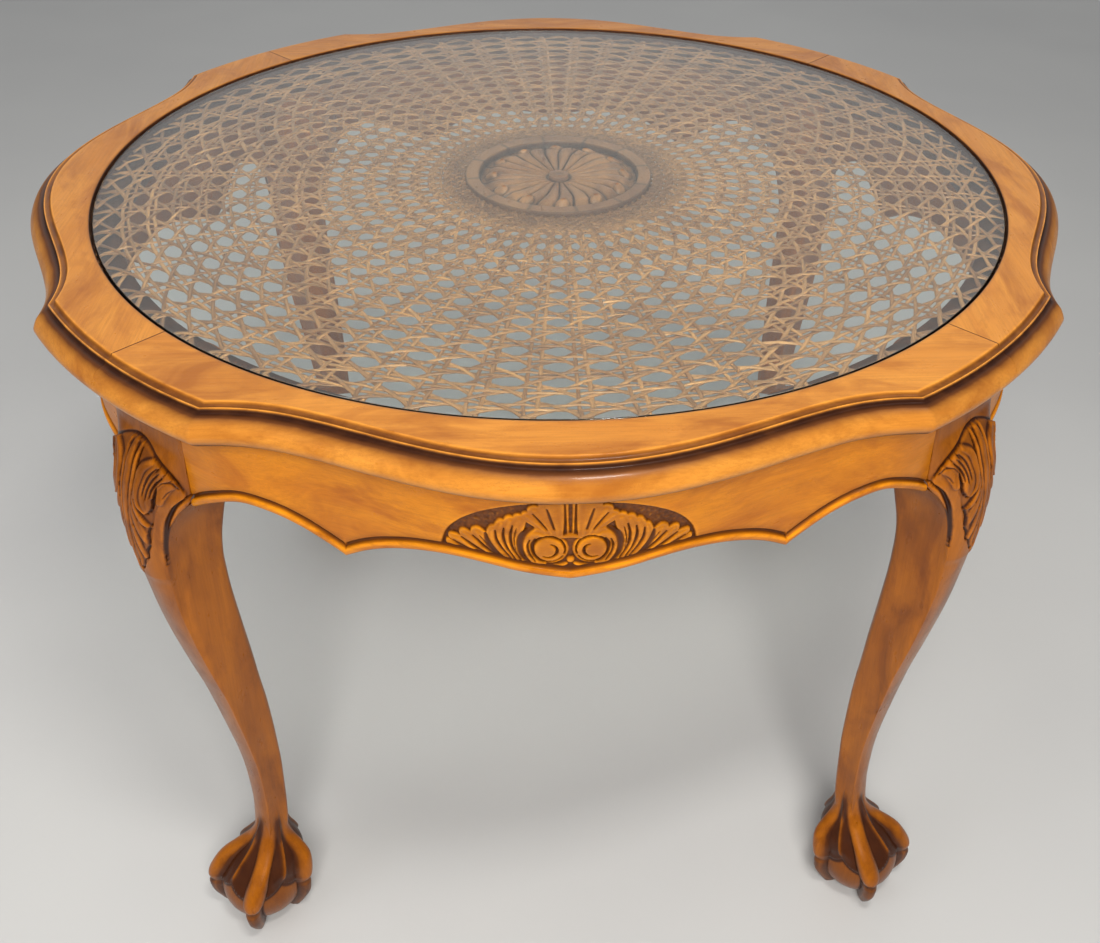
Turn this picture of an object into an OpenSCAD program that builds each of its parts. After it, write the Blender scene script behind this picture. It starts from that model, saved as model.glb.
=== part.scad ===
// Round coffee table: carved wooden base on four claw feet, scalloped rim,
// woven cane top with a carved rosette, loose glass plate over the cane.
// Millimetres, +Z up, floor at z = 0, front of the table faces -Y.

/* [Overall] */
// Height of the flat upper face of the rim
table_h = 530; // [520:1:540]
// Radius of the round opening that holds the glass
open_r = 330; // [325:1:335]
// Thickness of the wooden rim
rim_t = 28; // [26:1:30]

/* [Glass and cane] */
// Thickness of the glass plate
glass_t = 6; // [5:0.5:6]
// Gap round the edge of the glass
glass_gap = 1.5; // [1:0.1:2.5]
// Depth of the glass below the flat face of the rim
glass_sink = 1.2; // [0.5:0.1:2]
// Thickness of the woven cane
cane_t = 1.8; // [1.5:0.1:2.5]
// Outer radius of the woven cane
cane_r = 318; // [316:1:321]

/* [Rosette] */
// Radius of the carved rosette
ros_r = 70; // [70:0.5:75]
// Thickness of the rosette
ros_t = 14; // [12:0.5:16]
// Number of petals
petals = 12; // [12:1:20]

/* [Rim outline] */
// Half angle of the broad corner above each leg
ear_a = 12.5; // [11:0.5:14]
// Radius of the flat face at the corners
ear_r = 364; // [360:1:368]
// Radius of the flat face in the dips
dip_r = 346.5; // [343:0.5:350]
// Radius of the flat face in the middle of a side
mid_r = 361.5; // [358:1:366]

/* [Apron] */
// Thickness of the aprons
apron_t = 22; // [19:1:25]
// Distance of the apron face inside the edge of the flat
apron_in = 9.5; // [8:0.5:11]
// Half width of the post at the top of a leg
post_w = 37; // [35:1:40]
// How far the carving sits below the top of the apron drawing
carving_low = 5; // [3:0.5:7]

/* [Feet] */
// Radius of the ball in each foot
ball_r = 31; // [29:1:33]
// Distance of each foot from the middle of the table
foot_r = 339; // [336:1:343]

/* [Joints] */
// Diameter of the dowels
dowel_d = 8; // [6:1:10]

/* [Hidden] */
rim_bot = table_h - rim_t;
glass_z = table_h - glass_sink - glass_t;
cane_step = table_h - 12.6;
step_r = open_r - 7;
bore_r = open_r - 18;
ros_top = glass_z - 0.4;
cane_z = cane_step;
wood_a = [0.72, 0.42, 0.16];
wood_b = [0.66, 0.37, 0.13];
cane_c = [0.80, 0.58, 0.34];

// Angles along one side, measured from the middle of that side.
side_half = [0, 5, 9, 13, 17, 20, 22.5, 25, 27.5, 30, 31.3, 32.5, 37, 41, 45];
side_a = concat([for (i = [len(side_half) - 1:-1:1]) -side_half[i]], side_half);
ap_half = [0, 3.5, 7, 10, 13, 16, 19, 21.5, 22.5, 24, 26.5, 29, 31.5, 33.5, 35.5, 37.5, 39.8];
ap_a = concat([for (i = [len(ap_half) - 1:-1:1]) -ap_half[i]], ap_half);

// Edge radius of the flat face, t degrees away from the nearest leg.
function edge_r(t) = t <= ear_a ? ear_r :
  t <= 22.5 ? dip_r + (ear_r - dip_r) * pow((22.5 - t) / (22.5 - ear_a), 2.5) :
  dip_r + (mid_r - dip_r) * (1 - cos(180 * pow((t - 22.5) / 22.5, 0.9))) / 2;
// Width of the moulding outside the flat face.
function lip(t) = lookup(t, [[0, 16], [22.5, 16.5], [45, 17]]);
// Lower edge of the apron, below the top face.
function drop(t) = lookup(t, [[0, 98], [6, 98], [8, 89.5], [9.8, 83.5], [12.3, 77.8], [14, 79],
  [15, 82], [17.5, 90.8], [20, 99.8], [22.4, 106.9], [25, 98], [27.3, 92], [30, 87.5],
  [34, 84.6], [37, 85.7], [40, 88.4], [45, 92.7]]);

// Solid through a list of closed loops with equal point counts.
module skin(loops) {
  n = len(loops[0]);
  m = len(loops);
  pts = [for (l = loops) for (p = l) p];
  sides = [for (i = [0:m - 2]) for (j = [0:n - 1])
    let (a = i * n + j, b = i * n + (j + 1) % n, c = b + n, d = a + n)
    each [[a, d, c], [a, c, b]]];
  lower = [for (j = [0:n - 1]) j];
  upper = [for (j = [n - 1:-1:0]) (m - 1) * n + j];
  polyhedron(points = pts, faces = concat([lower], sides, [upper]), convexity = 6);
}

// ---------- rim ----------
rim_prof = [[0, 0], [0.04, -1.4], [0.12, -2.5], [0.22, -2.4], [0.29, -1.7], [0.33, -4.4],
  [0.4, -5.2], [0.55, -5.6], [0.7, -6.9], [0.83, -9.2], [0.95, -12.8], [1, -16.6], [0.97, -19.3],
  [0.87, -21.8], [0.68, -24.5], [0.4, -26.9], [0.14, -28]];
function rim_loop(a, t) = let (e = edge_r(t), w = lip(t))
  [for (q = concat([[bore_r, rim_bot], [bore_r, cane_step], [step_r, cane_step],
    [step_r, glass_z], [open_r, glass_z], [open_r, table_h]],
    [for (p = rim_prof) [e + p[0] * w, table_h + p[1] * rim_t / 28]]))
    [q[0] * cos(a), q[0] * sin(a), q[1]]];
module rim_side(mid) {
  rotate([0, 0, mid]) difference() {
    skin([for (a = side_a) rim_loop(a, 45 - abs(a))]);
    for (s = [-1, 1]) rotate([0, 0, 45 * s]) {
      rim_dowel_set();
      post_top_set();
    }
    apron_top_set();
  }
}
module rim_front() { color(wood_a) rim_side(270); }
module rim_right() { color(wood_a) rim_side(0); }
module rim_back() { color(wood_a) rim_side(90); }
module rim_left() { color(wood_a) rim_side(180); }

// ---------- dowels, placed for a leg on +X or a side on +X ----------
module rim_dowel_set() {
  for (x = [338, 362]) translate([x, -20, table_h - 21]) rotate([-90, 0, 0])
    cylinder(h = 40, d = dowel_d, $fn = 48);
}
module post_top_set() {
  for (s = [-1, 1]) translate([328, s * 22, rim_bot - 22])
    cylinder(h = 34, d = dowel_d, $fn = 48);
}
module apron_top_set() {
  for (s = [-1, 1]) rotate([0, 0, 12 * s])
    translate([edge_r(33) - apron_in - apron_t / 2, 0, rim_bot - 22])
      cylinder(h = 34, d = dowel_d, $fn = 48);
}
module apron_end_set(s) {
  for (z = [rim_bot - 15, rim_bot - 33]) translate([341, s * post_w, z])
    rotate([90, 0, 0]) cylinder(h = 50, d = dowel_d, center = true, $fn = 48);
}
module rim_dowels() {
  color(wood_b) for (a = [45:90:315]) rotate([0, 0, a]) rim_dowel_set();
}
module apron_dowels() {
  color(wood_b) for (a = [45:90:315], s = [-1, 1]) rotate([0, 0, a]) apron_end_set(s);
}
module top_dowels() {
  color(wood_b) {
    for (a = [45:90:315]) rotate([0, 0, a]) post_top_set();
    for (a = [0:90:270]) rotate([0, 0, a]) apron_top_set();
  }
}

// ---------- glass, cane, rosette ----------
module glass_top() {
  r = open_r - glass_gap;
  color([0.72, 0.85, 0.80, 0.35]) translate([0, 0, glass_z]) rotate_extrude($fn = 160)
    polygon([[0, 0], [r - 1, 0], [r, 1], [r, glass_t - 1], [r - 1, glass_t], [0, glass_t]]);
}
module cane_panel() {
  color(cane_c) translate([0, 0, cane_z]) rotate_extrude($fn = 160)
    polygon([[ros_r, 0], [cane_r, 0], [cane_r, cane_t], [ros_r, cane_t]]);
}
// One carved petal along +X: a rounded ridge that swells and curls up at its tip.
petal_x = [[12, 2.2, 0.6], [20, 4, 1.6], [30, 6.6, 2.6], [40, 8.6, 3.2], [47, 9.3, 3.6],
  [52, 7.6, 4.2], [55, 4, 3]];
function petal_loop(p) = let (k = p[1] * 13 / petals + p[1] * 3 / 16)
  [for (q = [[-1, 0], [-0.8, 0.55], [-0.4, 0.9], [0, 1], [0.4, 0.9], [0.8, 0.55], [1, 0],
    [0.9, -0.6], [-0.9, -0.6]]) [p[0], -q[0] * k, q[1] > -0.5 ? q[1] * p[2] : -1.5]];
module rosette() {
  b = ros_top - ros_t;
  color(wood_b) union() {
    translate([0, 0, b]) rotate_extrude($fn = 120)
      polygon([[0, 1], [4, 0], [ros_r - 2, 0], [ros_r, 2], [ros_r, ros_t - 1.2],
        [ros_r - 1.2, ros_t], [61.5, ros_t], [60, ros_t - 1], [59.2, ros_t - 3.5],
        [57.5, ros_t - 5.2], [0, ros_t - 5.2]]);
    translate([0, 0, ros_top - 6.2]) rotate_extrude($fn = 60)
      polygon([[0, 0], [10.5, 0], [10.5, 1.6], [9, 3.2], [6, 3.4], [5, 4.4], [0, 5]]);
    for (i = [0:petals - 1]) rotate([0, 0, (i + 0.5) * 360 / petals])
      translate([0, 0, ros_top - 5.2]) skin([for (p = petal_x) petal_loop(p)]);
  }
}

// ---------- aprons ----------
function ap_loop(a, t) = let (e = edge_r(t) - apron_in, z = table_h - drop(t))
  [for (q = [[e - apron_t, z], [e - apron_t, rim_bot], [e, rim_bot], [e, z + 8.4],
    [e - 1.4, z + 7.2], [e + 1.2, z + 6], [e + 2.2, z + 3.4], [e + 1.4, z + 0.9], [e - 1, z]])
    [q[0] * cos(a), q[0] * sin(a), q[1]]];
// Carved strip on the apron: centre line points [angle, height], half width w.
function strip_loop(x, z, w, up, dx, dz) = let (e = edge_r(45 - abs(x)) - apron_in,
  n = norm([dx * 6.2, dz]), ux = -dz / n / 6.2, uz = dx * 6.2 / n)
  [for (q = [[-1, -1.2], [-1, 0.2], [-0.55, up * 0.8], [0, up], [0.55, up * 0.8], [1, 0.2],
    [1, -1.2]]) let (a = x - q[0] * w * ux) [(e + q[1]) * cos(a), (e + q[1]) * sin(a),
    z - q[0] * w * uz]];
module strip(path, ws, up) {
  n = len(path);
  skin([for (i = [0:n - 1]) let (p = path[i], a = path[max(i - 1, 0)],
    b = path[min(i + 1, n - 1)])
    strip_loop(p[0], p[1], ws[i], up * (i == 0 || i == n - 1 ? 0.5 : 1),
      b[0] - a[0], b[1] - a[1])]);
}
// Spiral scroll beside the centre line.
function spiral(c, r0, r1, turns, s, n) = [for (i = [0:n]) let (f = i / n,
  r = r0 + (r1 - r0) * f, g = -60 + 360 * turns * f)
  [c[0] + s * r * cos(g) / 6.2, c[1] + r * sin(g)]];
module apron_carving() {
  z0 = table_h - carving_low;
  for (g = [-66:22:66]) strip([[sin(g) * 5 / 6.2, z0 - 60 + 5 * cos(g)],
    [sin(g) * 13 / 6.2, z0 - 60 + 12 * cos(g)], [sin(g) * 25 / 6.2, z0 - 60 + 23 * cos(g)]],
    [1.1, 2.3, 3.6], 2.6);
  for (s = [-1, 1]) {
    strip([for (p = spiral([1.85, z0 - 67.5], 2.4, 9.2, 1.05, 1, 12)) [s * p[0], p[1]]],
      [for (i = [0:12]) 1.1 + i * 0.13], 2.8);
    for (k = [0:4]) strip([[s * (3.9 + k * 0.75), z0 - 80 + k * 0.9],
      [s * (4.9 + k * 1.15), z0 - 66 + k * 0.5], [s * (4.5 + k * 1.45), z0 - 49 - k * 2]],
      [1.2, 2.7, 1.6], 2.4);
    for (k = [0:1]) strip([[s * (7.8 + k * 0.6), z0 - 79 + k * 1.5],
      [s * (10 + k * 0.5), z0 - 71 - k * 2], [s * (12 + k * 0.9), z0 - 66 - k * 4.5]],
      [1.4, 2.6, 1.1], 2);
  }
}
module apron_side(mid) {
  rotate([0, 0, mid]) difference() {
    union() {
      intersection() {
        skin([for (a = ap_a) ap_loop(a, 45 - abs(a))]);
        apron_keep();
      }
      apron_carving();
    }
    apron_top_set();
    rotate([0, 0, 45]) apron_end_set(-1);
    rotate([0, 0, -45]) apron_end_set(1);
  }
}
// Wedge between the two post faces at the ends of an apron.
module apron_keep() {
  k = post_w * sqrt(2);
  translate([0, 0, rim_bot - 90]) linear_extrude(height = 200)
    polygon([[k, 0], [500, 500 - k], [500, k - 500]]);
}
module apron_front() { color(wood_a) apron_side(270); }
module apron_right() { color(wood_a) apron_side(0); }
module apron_back() { color(wood_a) apron_side(90); }
module apron_left() { color(wood_a) apron_side(180); }

// ---------- legs, drawn with the leg on +X ----------
// [height, outer radius, edge radius, inner radius, outer half width, inner half width]
leg_lv = [[40, 348, 345, 329, 11, 11], [52, 344, 341, 316, 13, 14], [64, 338.5, 336, 314, 12, 12],
  [78, 334.5, 332.5, 313.5, 10.4, 10.4], [92, 332.5, 331, 313, 9.7, 9.7],
  [106, 332, 330, 312, 9.5, 9.5], [125, 332, 330, 311.5, 9.9, 9.9],
  [150, 333.2, 331.2, 311, 10.5, 10.4], [173, 336, 334, 311.8, 11.4, 11.3],
  [196, 339.7, 337.7, 313, 12.7, 12.4], [220, 343.9, 341.9, 314.8, 13.7, 13.4],
  [243, 348.5, 346, 317.5, 14.6, 14.4], [265, 353.7, 351.2, 319.8, 15.6, 15.4],
  [287, 358.7, 356.2, 322.2, 16.3, 16], [308, 363.4, 360.4, 324.4, 16.7, 16.4],
  [328, 367.2, 363.7, 326.2, 16.9, 16.6], [348, 370.2, 366.2, 327.5, 16.8, 16.6],
  [366, 373, 367.3, 327.8, 16.9, 16.6], [385, 375, 366.9, 326, 17.4, 17],
  [400, 376, 366.5, 323, 19.2, 18], [415, 376, 364, 320, 23.3, 20],
  [428, 375, 359.5, 317, 31, 24], [436, 373.5, 355.5, 315.5, post_w - 0.2, 27],
  [448, 370, 353, 314.5, post_w, 30.5], [458, 366, 353, 314, post_w, 31.5],
  [468, 360.5, 353, 314, post_w, 32], [474, 357.5, 353, 314, post_w, 32],
  [rim_bot, 357.5, 353, 314, post_w, 32]];
function leg_loop(v) = let (ro = v[1], re = v[2], ri = v[3], wo = v[4], wi = v[5], z = v[0],
  c = min(3.2, wo * 0.28))
  concat(
    [for (u = [-0.93, -0.75, -0.5, -0.25, 0, 0.25, 0.5, 0.75, 0.93])
      [re + (ro - re) * (1 - pow(abs(u), 2.2)), u * wo, z]],
    [[re - c, wo, z], [(re + ri) / 2, (wo * 0.62 + wi * 0.38) - (wo > 30 ? 2.5 : 0.7), z],
      [ri + c * 1.1, wi, z], [ri, wi - c, z], [ri - 0.6, wi * 0.3, z]],
    [[ri - 0.6, -wi * 0.3, z], [ri, -wi + c, z], [ri + c * 1.1, -wi, z],
      [(re + ri) / 2, -(wo * 0.62 + wi * 0.38) + (wo > 30 ? 2.5 : 0.7), z],
      [re - c, -wo, z]]);
// Claw path: [distance out, height, half width, distance of its hub inside the foot]
claw = [[5, 104, 3, 17], [7.8, 87, 3.8, 16], [9.7, 74.5, 4.6, 13.8], [14.5, 66.5, 5, 12],
  [22.3, 59, 6.2, 9], [29.4, 51.3, 8.4, 5.5], [31, 45.3, 9.6, 3], [33, 40, 9, 1.5],
  [34.7, 31, 6.8, 0], [34.3, 22.7, 6, 0], [31.1, 15.7, 5.6, 0], [27.3, 7.3, 4.4, 0],
  [26, 2.5, 3, 0]];
claw_a = [-122, -42, 42, 122];
module one_claw(g) {
  n = len(claw);
  skin([for (i = [n - 1:-1:0]) let (p = claw[i], a = claw[max(i - 1, 0)],
    b = claw[min(i + 1, n - 1)], t = [a[0] - b[0], a[1] - b[1]] / norm([a[0] - b[0], a[1] - b[1]]),
    hub = foot_r - p[3])
    [for (f = [0:45:315]) let (o = p[0] + p[2] * cos(f) * t[1], h = p[1] - p[2] * cos(f) * t[0],
      b = p[2] * sin(f)) [hub + o * cos(g) - b * sin(g), o * sin(g) + b * cos(g), max(h, 0)]]]);
}
module knee_leaf() {
  for (s = [-1, 1], k = [0:2]) let (y0 = s * (3 + k * 4))
    leaf_rib([[y0 * 0.5, 384 + k * 13], [y0 * 1.1 + s * k * 2.5, 405 + k * 9],
      [y0 + s * (4 + k * 5), 428 + k * 5], [y0 + s * (5 + k * 5.5), 448],
      [y0 * 0.8 + s * (1 + k * 4), 466 - k * 5]], 2.4);
  leaf_rib([[0, 378], [0, 400], [0, 425], [0, 450], [0, 469]], 2.8);
}
function knee_r(y, z) = let (
  o = lookup(z, [for (v = leg_lv) [v[0], v[1]]]), e = lookup(z, [for (v = leg_lv) [v[0], v[2]]]),
  w = lookup(z, [for (v = leg_lv) [v[0], v[4]]])) e + (o - e) * (1 - pow(min(abs(y) / w, 1), 2.2));
module leaf_rib(path, w) {
  n = len(path);
  skin([for (i = [0:n - 1]) let (p = path[i], k = (i == 0 || i == n - 1) ? 0.35 : 1)
    [for (q = [[-1, -2.5], [-1, -0.2], [-0.5, 1.3], [0, 1.8], [0.5, 1.3], [1, -0.2], [1, -2.5]])
      let (y = p[0] + q[0] * w * k) [knee_r(y, p[1]) + q[1] * (q[1] > 0 ? k : 1), y, p[1]]]]);
}
module leg(a) {
  rotate([0, 0, a]) difference() {
    union() {
      skin([for (v = leg_lv) leg_loop(v)]);
      translate([foot_r, 0, 0]) intersection() {
        translate([0, 0, ball_r]) sphere(r = ball_r, $fn = 64);
        cylinder(h = 80, r = 60, $fn = 40);
      }
      for (g = claw_a) one_claw(g);
      knee_leaf();
      translate([foot_r, 0, 0]) cylinder(h = 4, r = 14, $fn = 48);
    }
    post_top_set();
    for (s = [-1, 1]) apron_end_set(s);
  }
}
module leg_front_left() { color(wood_b) leg(225); }
module leg_front_right() { color(wood_b) leg(315); }
module leg_back_right() { color(wood_b) leg(45); }
module leg_back_left() { color(wood_b) leg(135); }

rim_front();
rim_right();
rim_back();
rim_left();
glass_top();
cane_panel();
rosette();
apron_front();
apron_right();
apron_back();
apron_left();
leg_front_left();
leg_front_right();
leg_back_right();
leg_back_left();
rim_dowels();
apron_dowels();
top_dowels();
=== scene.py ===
"""Carved round coffee table with a cane top and a loose glass: its looks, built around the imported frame.

Shapes are worked out in millimetres and made in metres. Each leg is drawn with the leg on +X, each side
of the table with the side on +X, and both are turned to their place.
"""
import math

import bpy
import numpy as np
from mathutils import Matrix, Vector


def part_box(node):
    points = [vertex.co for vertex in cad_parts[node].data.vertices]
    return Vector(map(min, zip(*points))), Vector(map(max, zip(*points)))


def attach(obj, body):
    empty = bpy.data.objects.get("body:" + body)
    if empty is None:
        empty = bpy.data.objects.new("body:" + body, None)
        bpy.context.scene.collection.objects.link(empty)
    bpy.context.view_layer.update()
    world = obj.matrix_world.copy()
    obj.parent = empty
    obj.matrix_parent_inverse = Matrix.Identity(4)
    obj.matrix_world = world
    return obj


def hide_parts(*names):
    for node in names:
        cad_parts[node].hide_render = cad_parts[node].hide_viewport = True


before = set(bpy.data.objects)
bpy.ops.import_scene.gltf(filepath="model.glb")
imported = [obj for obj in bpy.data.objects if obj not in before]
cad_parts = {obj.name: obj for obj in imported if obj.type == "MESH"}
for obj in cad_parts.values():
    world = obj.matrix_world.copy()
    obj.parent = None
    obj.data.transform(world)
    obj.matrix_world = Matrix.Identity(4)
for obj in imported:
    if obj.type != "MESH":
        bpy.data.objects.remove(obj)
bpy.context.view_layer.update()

MM = 0.001
SIDES = {"front": 270, "right": 0, "back": 90, "left": 180}
LEGS = {"front_left": 225, "front_right": 315, "back_right": 45, "back_left": 135}


# ---- sizes, from the frame
def box_mm(node):
    lo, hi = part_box(node)
    return np.array(lo) / MM, np.array(hi) / MM


rim_lo, rim_hi = box_mm("rim_front")
glass_lo, glass_hi = box_mm("glass_top")
rosette_lo, rosette_hi = box_mm("rosette")

TOP, RIM_BOTTOM = rim_hi[2], rim_lo[2]
GLASS_R, GLASS_PLAY = glass_hi[0], 1.5
LEDGE_WIDTH = 18
OPEN_R = GLASS_R + GLASS_PLAY
BORE_R = OPEN_R - LEDGE_WIDTH
CANE_Z = box_mm("cane_panel")[0][2]
ROSETTE_R = rosette_hi[0]

# Edge of the rim's flat face at the ears by the legs, in the dips and in the middle of a side.
EAR_R, DIP_R, MID_R = 364.0, 346.5, 361.5
EAR_ANGLE, DIP_ANGLE, CUSP_ANGLE = 12.5, 22.5, 22.4
APRON_INSET, APRON_THICK = 9.5, 22.0
POST_HALF = 37.0
FOOT_R, BALL_R = 339.0, 31.0
JOINT_GAP = 0.12


# ---- curves
def smooth(x, table):
    """Smooth curve through (x, y) points."""
    xs, ys = np.array(table, float).T
    slopes = np.gradient(ys, xs)
    x = np.clip(x, xs[0], xs[-1])
    i = np.clip(np.searchsorted(xs, x) - 1, 0, len(xs) - 2)
    h = xs[i + 1] - xs[i]
    f = (x - xs[i]) / h
    return ((1 + 2 * f) * (1 - f) ** 2 * ys[i] + f * (1 - f) ** 2 * h * slopes[i]
            + f * f * (3 - 2 * f) * ys[i + 1] + f * f * (f - 1) * h * slopes[i + 1])


def clip01(x):
    return np.clip(x, 0, 1)


def ease(x, start, end):
    """0 before start, 1 after end, smooth between."""
    f = clip01((x - start) / (end - start))
    return f * f * (3 - 2 * f)


def bell(x, width):
    """1 where x is 0, and almost nothing two widths away."""
    return np.exp(-(x / width) ** 2)


def path_points(points, spacing=None, count=None, x_weight=1):
    """Points spread evenly along a smooth line through a few given ones.

    Distances are taken between their first two numbers, and x can weigh more.
    """
    points = np.array(points, float)
    steps = np.linalg.norm(np.diff(points[:, :2] * (x_weight, 1), axis=0), axis=1)
    along = np.concatenate([[0], np.cumsum(steps)])
    s = np.linspace(0, along[-1], count or max(4, int(along[-1] / spacing) + 1))
    return np.stack([smooth(s, np.stack([along, c], 1)) for c in points.T], 1)


def around(radius, angle, z):
    """Points from radius, angle and height."""
    return np.stack(np.broadcast_arrays(radius * np.cos(angle), radius * np.sin(angle), z), -1)


def edge_radius(t):
    """Edge of the rim's flat face, t degrees from the nearest leg."""
    t = np.abs(t)
    fall = DIP_ANGLE - EAR_ANGLE
    shoulder = DIP_R + (EAR_R - DIP_R) * (np.clip(DIP_ANGLE - t, 0, fall) / fall) ** 2.5
    f = (np.clip(t - DIP_ANGLE, 0, DIP_ANGLE) / DIP_ANGLE) ** 0.9
    swell = DIP_R + (MID_R - DIP_R) * (1 - np.cos(np.pi * f)) / 2
    return np.where(t <= EAR_ANGLE, EAR_R, np.where(t <= DIP_ANGLE, shoulder, swell))


def moulding_width(t):
    return np.interp(np.abs(t), [0, DIP_ANGLE, 45], [16, 16.5, 16.5])


def apron_drop(t):
    """Depth of the apron's lower edge below the top face. It has a point at CUSP_ANGLE."""
    t = np.abs(t)
    near = smooth(t, [(0, 98), (6, 97), (8, 89.5), (9.8, 83.5), (12.3, 78.5), (15, 82), (17.5, 90),
                      (20, 98.8), (CUSP_ANGLE, 106.9)])
    far = smooth(t, [(CUSP_ANGLE, 106.9), (25, 98), (27.3, 92.2), (30, 87.6), (34, 84.6), (37, 85.5),
                     (40, 88.4), (45, 92.7)])
    return np.where(t <= CUSP_ANGLE, near, far)


# ---- meshes
def new_object(name, data):
    thing = bpy.data.objects.new(name, data)
    bpy.context.collection.objects.link(thing)
    return thing


def loft(rows, ring=False):
    """Faces of a solid through closed loops, all with as many points."""
    m, n = rows.shape[:2]
    i = np.arange(m if ring else m - 1)[:, None]
    j = np.arange(n)[None]
    a, b = i * n + j, i * n + (j + 1) % n
    step = ((i + 1) % m - i) * n
    quads = np.stack([a, b, b + step, a + step], -1).reshape(-1, 4)
    caps = [] if ring else [list(range(n))[::-1], list(range((m - 1) * n, m * n))]
    return rows.reshape(-1, 3), quads, caps


def volume(points, quads):
    a, b, c, d = (points[quads[:, k]] for k in range(4))
    return np.sum(a * np.cross(b, c)) + np.sum(a * np.cross(c, d))


def make_piece(name, points, quads, caps, material, sharp, **fields):
    """A mesh object in metres, its faces turned outwards, with one number or vector per point per field."""
    if volume(points - points.mean(0), quads) < 0:
        quads = quads[:, ::-1]
        caps = [c[::-1] for c in caps]
    mesh = bpy.data.meshes.new(name)
    mesh.from_pydata((points * MM).tolist(), [], quads.tolist() + caps)
    for field, values in fields.items():
        kind, key = ("FLOAT_VECTOR", "vector") if values.ndim > 1 else ("FLOAT", "value")
        attribute = mesh.attributes.new(field, kind, "POINT")
        attribute.data.foreach_set(key, values.astype(np.float32).ravel())
    mesh.shade_smooth()
    if sharp:
        mesh.set_sharp_from_angle(angle=math.radians(sharp))
    mesh.materials.append(material)
    return new_object(name, mesh)


def turned(points, degrees):
    """Points turned about the table's middle axis."""
    c, s = math.cos(math.radians(degrees)), math.sin(math.radians(degrees))
    out = points.copy()
    out[..., 0] = points[..., 0] * c - points[..., 1] * s
    out[..., 1] = points[..., 0] * s + points[..., 1] * c
    return out


def place(piece, body, slot, *nodes):
    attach(piece, body)
    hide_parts(*nodes)


# ---- carved relief
RELIEF_STEP = 0.4
STAIN_IN_CUTS, CARVED_TONE = 0.95, 0.2
CUT_WIDTH = 1.6
FULL_HOLLOW, FULL_CREST = 0.65, 0.7


class Relief:
    """A height and a darkness over a flat patch, built from strokes of a gouge."""

    def __init__(self, x0, x1, z0, z1):
        self.x0, self.z0 = x0, z0
        xs, zs = np.arange(x0, x1, RELIEF_STEP), np.arange(z0, z1, RELIEF_STEP)
        self.x, self.z = np.meshgrid(xs, zs, indexing="ij")
        self.raised, self.cut, self.ink = (np.zeros_like(self.x) for _ in range(3))

    def stroke(self, path):
        """1 on the middle line of a path of (x, z, half width), falling to 0 at its edge."""
        best = np.zeros_like(self.x)
        points = path_points(path, RELIEF_STEP * 1.5)
        reach = max(points[:, 2]) + RELIEF_STEP
        inside = ((self.x > points[:, 0].min() - reach) & (self.x < points[:, 0].max() + reach)
                  & (self.z > points[:, 1].min() - reach) & (self.z < points[:, 1].max() + reach))
        px, pz = self.x[inside], self.z[inside]
        near = np.zeros_like(px)
        for x, z, w in points:
            near = np.maximum(near, 1 - ((px - x) ** 2 + (pz - z) ** 2) / max(w, 0.1) ** 2)
        best[inside] = near
        return best

    def ridge(self, path, height):
        self.raised = np.maximum(self.raised, height * self.stroke(path) ** 0.3)

    def mass(self, path, height):
        """A wider, lower body that joins neighbouring ridges."""
        wide = [(x, z, w * 1.25 + 1.1) for x, z, w in path]
        self.raised = np.maximum(self.raised, height * 0.84 * clip01(self.stroke(wide) * 4))

    def gouge(self, path, depth):
        """A cut, with stain in it."""
        shape = self.stroke(path)
        self.cut = np.maximum(self.cut, depth * shape)
        self.ink = np.maximum(self.ink, shape ** 0.6)

    def both(self, method, path, size):
        """The same stroke on the right and, mirrored, on the left."""
        method(path, size)
        method([(-x, *rest) for x, *rest in path], size)

    def finish(self, ground, ground_dark):
        """Height, stain and pale crests from the strokes. Hollows hold stain; the crests are paler partly by
        wear and partly by a painted highlight.
        """
        self.height = ground + self.raised - self.cut
        blurred = self.height
        for _ in range(3):
            blurred = soften(blurred, 3)
        hollow = (blurred - self.height) / FULL_HOLLOW
        self.dark = clip01(np.max([ground_dark, hollow, STAIN_IN_CUTS * self.ink], axis=0))
        # Painted highlight, partly wear, on whatever stands above its surroundings.
        self.crest_highlight_and_wear = clip01((self.height - blurred) / FULL_CREST)

    def at(self, x, z):
        """Height, stain and crest highlight at points, by linear interpolation."""
        last_x, last_z = (n - 1.001 for n in self.height.shape)
        u = np.clip((x - self.x0) / RELIEF_STEP, 0, last_x)
        v = np.clip((z - self.z0) / RELIEF_STEP, 0, last_z)
        i, j = u.astype(int), v.astype(int)
        f, g = u - i, v - j
        return [grid[i, j] * (1 - f) * (1 - g) + grid[i + 1, j] * f * (1 - g)
                + grid[i, j + 1] * (1 - f) * g + grid[i + 1, j + 1] * f * g
                for grid in (self.height, self.dark, self.crest_highlight_and_wear)]


def soften(grid, reach):
    """Average over a square of 2 * reach + 1 cells."""
    for axis in (0, 1):
        pad = [(0, 0), (0, 0)]
        pad[axis] = (reach + 1, reach)
        sums = np.cumsum(np.pad(grid, pad, mode="edge"), axis=axis)
        width = 2 * reach + 1
        hi = sums.take(range(width, sums.shape[axis]), axis=axis)
        lo = sums.take(range(0, sums.shape[axis] - width), axis=axis)
        grid = (hi - lo) / width
    return grid


def punched_ground(relief, seed):
    """The uneven, punched texture of a carved background, from 0 to 1."""
    noise = np.random.default_rng(seed).random(relief.x.shape)
    noise = soften(soften(noise, 1), 1)
    return clip01((noise - noise.min()) / (noise.max() - noise.min()))


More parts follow.
